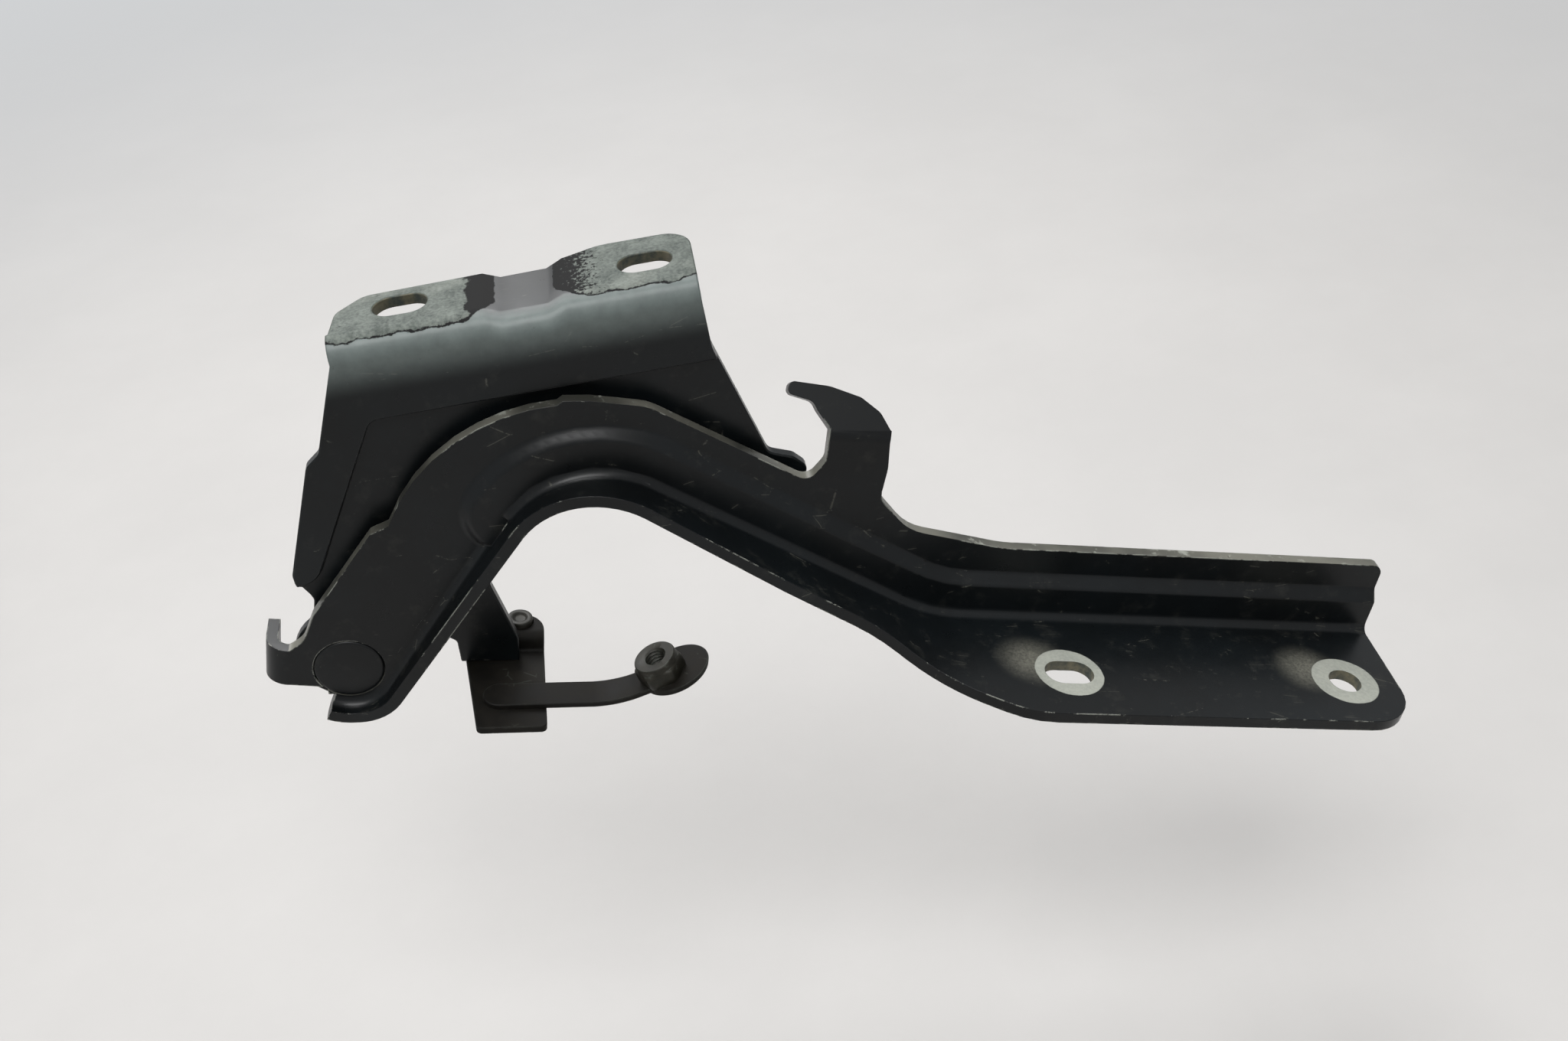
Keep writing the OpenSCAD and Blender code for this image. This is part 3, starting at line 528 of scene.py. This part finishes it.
class HINGE_OT_bracket(bpy.types.Operator):
    """Paints the body bracket, with bare zinc on its bolting pads"""

    bl_idname = "hinge.bracket"
    bl_label = "Body Bracket"

    def execute(self, context):
        shape, finish = context.scene.hinge_shape, context.scene.hinge_finish
        main = painted_steel("black dip paint, bolting pads", (finish.zinc, finish.zinc_dark), pad_wear, 0.36)
        # Punched walls of the slots: bare zinc stained brown, dull and uneven.
        wall = plain_finish("stained zinc slot wall", finish.wall, finish.zinc_dark, 0.6, 0.3, 3 * MM)

        def pick(centre, normal):
            spread = MOUNTS["body_bolts"]["dims"]["spacing_x_mm"] / 2 * MM
            up = (0.0, 0.0, 1.0)
            left = hole_walls(centre, normal, (-spread, 0.0, 0.0), up, 6.8 * MM, 4.8 * MM)
            return left | hole_walls(centre, normal, (spread, 0.0, 0.0), up, 6.8 * MM, 4.8 * MM)

        dressed("body_bracket", "bracket", "black_paint", (main, wall), shape.edge, pick)
        return {"FINISHED"}


class HINGE_OT_plates(bpy.types.Operator):
    """Coats the support plate and the nut strip"""

    bl_idname = "hinge.plates"
    bl_label = "Support Plate and Nut Strip"

    def execute(self, context):
        shape, finish = context.scene.hinge_shape, context.scene.hinge_finish
        # Phosphate and thin dark paint: flat, slightly brown, greyer where hands and tools rub it.
        tones = (finish.coat, finish.coat_light)
        main = plain_finish("dull phosphate coating", *tones, 0.6, 0.0, 9 * MM, 0.12, finish.zinc)
        for name in ("support_plate", "nut_strip"):
            dressed(name, "bracket", "dark_coating", (main,), shape.thin_edge)
        return {"FINISHED"}


class HINGE_OT_nut(bpy.types.Operator):
    """Makes the weld nut: a hexagon that runs up into a round collar, with a real thread inside"""

    bl_idname = "hinge.nut"
    bl_label = "Weld Nut"

    def execute(self, context):
        shape, finish = context.scene.hinge_shape, context.scene.hinge_finish
        cad = np.array([v.co for v in frame["nodes"]["weld_nut"].data.vertices])
        up = np.array(NUT_UP.normalized())
        mouth = np.array(MOUNTS["nut_thread"]["pos_m"])
        level = (cad - mouth) @ up
        low, high = level.min(), level.max()
        tall = high - low
        radius = np.linalg.norm(cad - mouth - level[:, None] * up, axis=1)
        collar = radius[level > high - 0.1 * MM].max()
        corner = radius.max()
        bore = MOUNTS["nut_thread"]["dims"]["r_mm"] * MM
        turns = 96
        angle = np.linspace(0, 2 * np.pi, turns, endpoint=False)
        # The outside goes from a hexagon with blunt corners to a circle: radius = mix of the two by height. Each
        # row of the table has the circle's share, the share of the height, and a factor on the radius.
        sector = (angle + np.pi / 6) % (np.pi / 3) - np.pi / 6
        hexagon = np.minimum(corner * math.cos(math.pi / 6) / np.cos(sector), corner * 0.97)
        side = np.array([(0, 0, 0.5), (0, 0.12, 1), (0, 0.6, 1), (0.25, 0.66, 1), (0.9, 0.7, 1), (1, 0.73, 1)])
        side = np.vstack([side, [(1, 0.93, 1), (1, 0.97, 0.98), (1, 1, 0.94)]])
        mix, part, scale = side[:, :1], side[:, 1], side[:, 2:]
        outer = ((1 - mix) * hexagon + mix * np.minimum(collar, hexagon)) * np.where(scale < 0.6, 0.97, scale)
        outer_h = np.repeat((low + part * tall)[:, None], turns, axis=1)
        # The thread: radius = bore + depth times a triangle wave of height over pitch less the angle's share.
        steps = 4 * int(round(tall / shape.pitch)) * 2
        height = np.linspace(high - 0.25 * MM, low + 0.05 * MM, steps + 1)[:, None]
        wave = (height / shape.pitch - angle / (2 * np.pi)) % 1.0
        inner = bore + shape.thread * (1 - np.abs(2 * wave - 1))
        inner_h = np.repeat(height, turns, axis=1)
        mouth_r = np.full((1, turns), bore + shape.thread * 1.3)
        radii = np.vstack([outer, mouth_r, inner, mouth_r, outer[:1]])
        heights = np.vstack([outer_h, 0 * mouth_r + high, inner_h, 0 * mouth_r + low, outer_h[:1]])
        rows = np.stack([radii * np.cos(angle), radii * np.sin(angle), heights], axis=-1)
        # Phosphate on pressed steel: dull olive, paler on rubbed edges.
        tones = (finish.nut, finish.nut_light)
        coat = plain_finish("phosphated nut steel", *tones, 0.5, 0.2, 3 * MM, 0.3, finish.zinc)
        mesh = grid_mesh("weld_nut_formed", placed(rows, mouth, up), coat)
        link(mesh, mesh.name, "bracket", "dark_coating", "weld_nut")
        return {"FINISHED"}


class HINGE_OT_stud(bpy.types.Operator):
    """Makes the riveted stud in the support plate, with a hollow in its end"""

    bl_idname = "hinge.stud"
    bl_label = "Support Stud"

    def execute(self, context):
        shape, finish = context.scene.hinge_shape, context.scene.hinge_finish
        mesh = frame["nodes"]["support_stud"].data
        cad = np.array([v.co for v in mesh.vertices])
        normals = np.array([p.normal for p in mesh.polygons])
        areas = np.array([p.area for p in mesh.polygons])
        flat = normals[:, 2] > 0.5
        up = (normals * (areas * flat)[:, None]).sum(0)
        up /= np.linalg.norm(up)
        middle = (cad.max(0) + cad.min(0)) / 2
        level = (cad - middle) @ up
        radius = np.linalg.norm(cad - middle - level[:, None] * up, axis=1)
        low, high = level.min(), level.max()
        wide = radius[level > high - 0.1 * MM].max()
        foot = radius[level < low + 0.1 * MM].max()
        profile = rounded(
            [
                (0, high - shape.dimple, 0),
                (wide * 0.42, high - shape.dimple, 0.3 * MM),
                (wide * 0.62, high, 0.35 * MM),
                (wide, high, 0.5 * MM),
                (wide, low + 0.3 * MM, 0),
                (foot, low, 0.2 * MM),
                (0, low, 0),
            ]
        )
        # Phosphate on riveted steel: dull olive in two tones.
        coat = plain_finish("phosphated stud steel", finish.nut, finish.nut_light, 0.5, 0.2, 3 * MM)
        formed = grid_mesh("support_stud_formed", placed(turned(profile, 48), middle, up), coat)
        link(formed, formed.name, "bracket", "dark_coating", "support_stud")
        return {"FINISHED"}


class HINGE_OT_pivot(bpy.types.Operator):
    """Makes the pivot rivet with its soft-edged ends, and finishes the bush and the washers"""

    bl_idname = "hinge.pivot"
    bl_label = "Pivot"

    def execute(self, context):
        shape, finish = context.scene.hinge_shape, context.scene.hinge_finish
        cad = np.array([v.co for v in frame["nodes"]["pivot_rivet"].data.vertices])
        depth = cad[:, 1] - PIVOT.y
        radius = np.hypot(cad[:, 0] - PIVOT.x, cad[:, 2] - PIVOT.z)
        front, back = depth.min(), depth.max()
        head = radius[depth < front + 0.1 * MM].max()
        tail = radius[depth > back - 0.1 * MM].max()
        levels = np.unique(np.round(depth, 6))
        seat, rear = levels[1], levels[-2]
        shank = radius[(depth > seat - 0.01 * MM) & (depth < rear + 0.01 * MM)].min()
        crown = shape.crown
        # Both ends are flat domes: the height falls with the square of the radius towards the rim.
        share = np.linspace(0, 0.9, 8)
        front_dome = np.column_stack([head * share, front + crown * share**2, 0 * share])
        back_dome = np.column_stack([tail * share, back - crown * share**2, 0 * share])[::-1]
        corners = [
            (head, front + crown, 0.6 * MM),
            (head, seat, 0.1 * MM),
            (shank, seat, 0),
            (shank, rear, 0),
            (tail, rear, 0.1 * MM),
            (tail, back - crown, 0.6 * MM),
        ]
        profile = rounded(np.vstack([front_dome, corners, back_dome]))
        paint = painted_steel("black dip paint, rivet", (finish.zinc, finish.zinc_dark), knocks=0.2)
        mesh = grid_mesh("pivot_rivet_formed", placed(turned(profile), PIVOT, (0, 1, 0)), paint)
        link(mesh, mesh.name, "arm", "black_paint", "pivot_rivet")
        # Zinc-plated turned steel: pale, with a soft gloss and dull spots.
        steel = plain_finish("zinc-plated turned steel", finish.zinc, finish.zinc_dark, 0.4, 1.0, 4 * MM)
        for name in ("pivot_bush", "thrust_washer", "tail_washer"):
            materials = frame["nodes"][name].data.materials
            materials.clear()
            materials.append(steel)
        return {"FINISHED"}


class HINGE_OT_stage(bpy.types.Operator):
    """Sets the floor, the lamps, the even world and the camera"""

    bl_idname = "hinge.stage"
    bl_label = "Stage"

    def execute(self, context):
        stage = context.scene.hinge_stage
        scene = context.scene
        scene.view_settings.view_transform = "Standard"
        # Matt painted board: pale grey with a barely seen unevenness.
        lighter = [min(1.0, c * 1.05) for c in stage.floor_colour[:3]] + [1.0]
        board = plain_finish("matt pale board", stage.floor_colour, lighter, 0.8, 0.0, 120 * MM)
        # Far from the hinge the board passes into the even backdrop, for the camera and for gloss alone.
        tree = board.node_tree
        lit = tree.nodes["Principled BSDF"].outputs[0]
        away = node(tree, "VectorMath", {0: node(tree, "TexCoord", out="Object")}, out=1, operation="LENGTH")
        far = node(tree, "MapRange", {0: away, 1: 0.5, 2: 1.4}, interpolation_type="SMOOTHSTEP")
        far = node(tree, "Math", {0: far, 1: seen(tree)}, operation="MULTIPLY")
        pale = node(tree, "Emission", {"Color": PALE, "Strength": stage.backdrop})
        blend = node(tree, "MixShader", {0: far, 1: lit, 2: pale})
        tree.links.new(blend, tree.nodes["Material Output"].inputs["Surface"])
        mesh = bpy.data.meshes.new("floor")
        half = 4.0
        side = np.array([(-half, -half), (half, -half), (half, half), (-half, half)])
        corners = np.column_stack([side, np.full(4, stage.floor_level)])
        mesh.from_pydata(corners.tolist(), [], [(0, 1, 2, 3)])
        mesh.materials.append(board)
        floor = bpy.data.objects.new("floor", mesh)
        scene.collection.objects.link(floor)
        # The softboxes face the middle of the hinge.
        aim = Vector((0.05, -0.02, -0.07))
        for name, at, size, power in (
            ("back softbox", (-0.08, 0.62, 1.08), (0.6, 1.5), stage.back),
            ("top softbox", (-0.10, -0.55, 1.05), (0.9, 0.5), stage.top),
            ("front fill", (0.15, -1.25, 0.85), (1.1, 0.7), stage.front),
        ):
            data = bpy.data.lights.new(name, "AREA")
            data.shape = "RECTANGLE"
            data.size, data.size_y = size
            data.energy = power
            lamp = bpy.data.objects.new(name, data)
            lamp.location = at
            lamp.rotation_euler = (aim - lamp.location).to_track_quat("-Z", "Y").to_euler()
            scene.collection.objects.link(lamp)
        data = bpy.data.lights.new("broad lamp above", "SUN")
        data.energy = stage.broad
        data.angle = math.radians(80)
        lamp = bpy.data.objects.new("broad lamp above", data)
        lamp.rotation_euler = (math.radians(-12), math.radians(-10), 0)
        scene.collection.objects.link(lamp)
        world = bpy.data.worlds.new("even light")
        world.use_nodes = True
        tree = world.node_tree
        tree.nodes.clear()
        level = node(tree, "Mix", {0: seen(tree), 2: stage.world, 3: stage.backdrop})
        light = node(tree, "Background", {"Color": PALE, "Strength": level})
        node(tree, "OutputWorld", {"Surface": light})
        scene.world = world
        data = bpy.data.cameras.new("camera")
        data.sensor_width = 36.0
        data.lens = stage.lens
        data.clip_start = 0.02
        camera = bpy.data.objects.new("camera", data)
        # The photograph's viewpoint: where it was taken from, which way it looks, and its roll.
        eye, ahead, roll = Vector((0.0342, -0.3713, 0.1924)), Vector((0.0390, 0.8038, -0.5936)), math.radians(-8.68)
        turn = ahead.to_track_quat("-Z", "Y") @ Quaternion((0, 0, 1), roll)
        camera.matrix_world = Matrix.LocRotScale(eye, turn, None)
        scene.collection.objects.link(camera)
        scene.camera = camera
        return {"FINISHED"}


class HINGE_PT_panel(bpy.types.Panel):
    """Lists the pieces of the hinge and their settings"""

    bl_idname = "HINGE_PT_panel"
    bl_label = "Bonnet Hinge"
    bl_space_type = "VIEW_3D"
    bl_region_type = "UI"
    bl_category = "Bonnet Hinge"

    def draw(self, context):
        for group in (context.scene.hinge_shape, context.scene.hinge_finish, context.scene.hinge_stage):
            box = self.layout.box()
            for name in group.__annotations__:
                box.prop(group, name)
        for operator in OPERATORS:
            self.layout.operator(operator.bl_idname)


OPERATORS = (
    HINGE_OT_arm,
    HINGE_OT_bracket,
    HINGE_OT_plates,
    HINGE_OT_nut,
    HINGE_OT_stud,
    HINGE_OT_pivot,
    HINGE_OT_stage,
)
CLASSES = (HingeShape, HingeFinish, HingeStage, *OPERATORS, HINGE_PT_panel)


def register():
    """Registers the classes and hangs the settings on the scene."""
    for cls in CLASSES:
        bpy.utils.register_class(cls)
    bpy.types.Scene.hinge_shape = PointerProperty(type=HingeShape)
    bpy.types.Scene.hinge_finish = PointerProperty(type=HingeFinish)
    bpy.types.Scene.hinge_stage = PointerProperty(type=HingeStage)


def unregister():
    """Takes both away again."""
    del bpy.types.Scene.hinge_stage
    del bpy.types.Scene.hinge_finish
    del bpy.types.Scene.hinge_shape
    for cls in reversed(CLASSES):
        bpy.utils.unregister_class(cls)


def main():
    register()
    bpy.ops.hinge.arm()
    bpy.ops.hinge.bracket()
    bpy.ops.hinge.plates()
    bpy.ops.hinge.nut()
    bpy.ops.hinge.stud()
    bpy.ops.hinge.pivot()
    bpy.ops.hinge.stage()
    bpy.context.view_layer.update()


if __name__ == "__main__":
    main()
